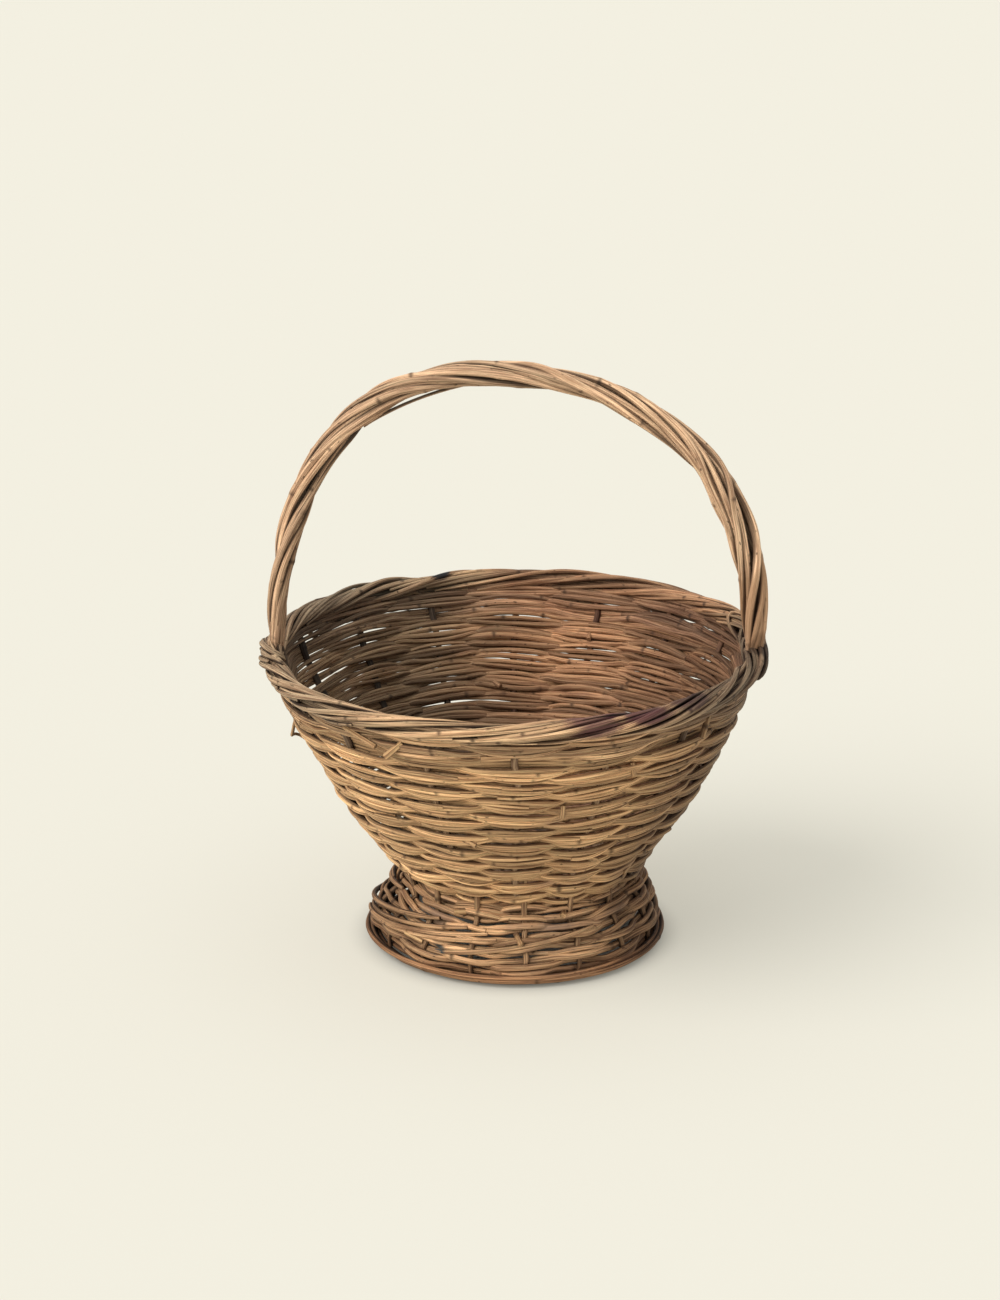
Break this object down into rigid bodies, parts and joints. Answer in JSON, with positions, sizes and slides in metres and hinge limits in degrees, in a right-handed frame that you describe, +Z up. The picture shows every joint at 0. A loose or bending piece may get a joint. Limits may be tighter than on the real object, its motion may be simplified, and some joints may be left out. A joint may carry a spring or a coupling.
{
  "type": "footed wicker basket",
  "caption": "Round wicker bowl on a flared woven foot, with a rolled willow border and a tall twisted-rod hoop handle fixed across the rim.",
  "frame": {"origin": "centre of the foot on the surface that the basket stands on", "axes": "+Z up, the handle stands across X from side to side, -Y is the front"},
  "size_m": [0.2556, 0.2495, 0.2992],
  "materials": {
    "side_willow": "matt weathered golden-tan willow with long grain streaks and dark knots",
    "stake_willow": "matt weathered brown willow, streaked, darker at knots",
    "rim_willow": "matt grey-brown willow rubbed smooth by hands",
    "base_willow": "matt grey-brown willow, dusty",
    "foot_willow": "matt weathered tan willow with scuffed edges",
    "handle_willow": "satin tan willow rubbed by hands, with dark specks and splits"
  },
  "bodies": {
    "root": {"spoke_rod_1": "stake_willow", "spoke_rod_2": "stake_willow", "spoke_rod_3": "stake_willow", "spoke_rod_4": "stake_willow", "spoke_rod_5": "stake_willow", "spoke_rod_6": "stake_willow", "spoke_rod_7": "stake_willow", "spoke_rod_8": "stake_willow", "base_binding": "base_willow", "base_row_1": "base_willow", "base_row_2": "base_willow", "base_row_3": "base_willow", "base_row_4": "base_willow", "side_row_01": "side_willow", "side_row_02": "side_willow", "side_row_03": "side_willow", "side_row_04": "side_willow", "side_row_05": "side_willow", "side_row_06": "side_willow", "side_row_07": "side_willow", "side_row_08": "side_willow", "side_row_09": "side_willow", "side_row_10": "side_willow", "side_row_11": "side_willow", "side_row_12": "side_willow", "side_row_13": "side_willow", "side_row_14": "side_willow", "side_row_15": "side_willow", "side_row_16": "side_willow", "side_row_17": "side_willow", "side_row_18": "side_willow", "side_row_19": "side_willow", "side_row_20": "side_willow", "rim_wale": "rim_willow", "foot_stakes": "foot_willow", "foot_row_1": "foot_willow", "foot_row_2": "foot_willow", "foot_row_3": "foot_willow", "foot_row_4": "foot_willow", "foot_row_5": "foot_willow", "foot_rest_hoop": "foot_willow", "foot_outer_hoop": "foot_willow", "foot_inner_hoop": "foot_willow", "handle_bow": "handle_willow", "handle_strand_1": "handle_willow", "handle_strand_2": "handle_willow", "handle_strand_3": "handle_willow", "handle_strand_4": "handle_willow", "handle_strand_5": "handle_willow", "handle_strand_6": "handle_willow", "handle_lashing_left": "rim_willow", "handle_lashing_right": "rim_willow"}
  },
  "joints": []
}
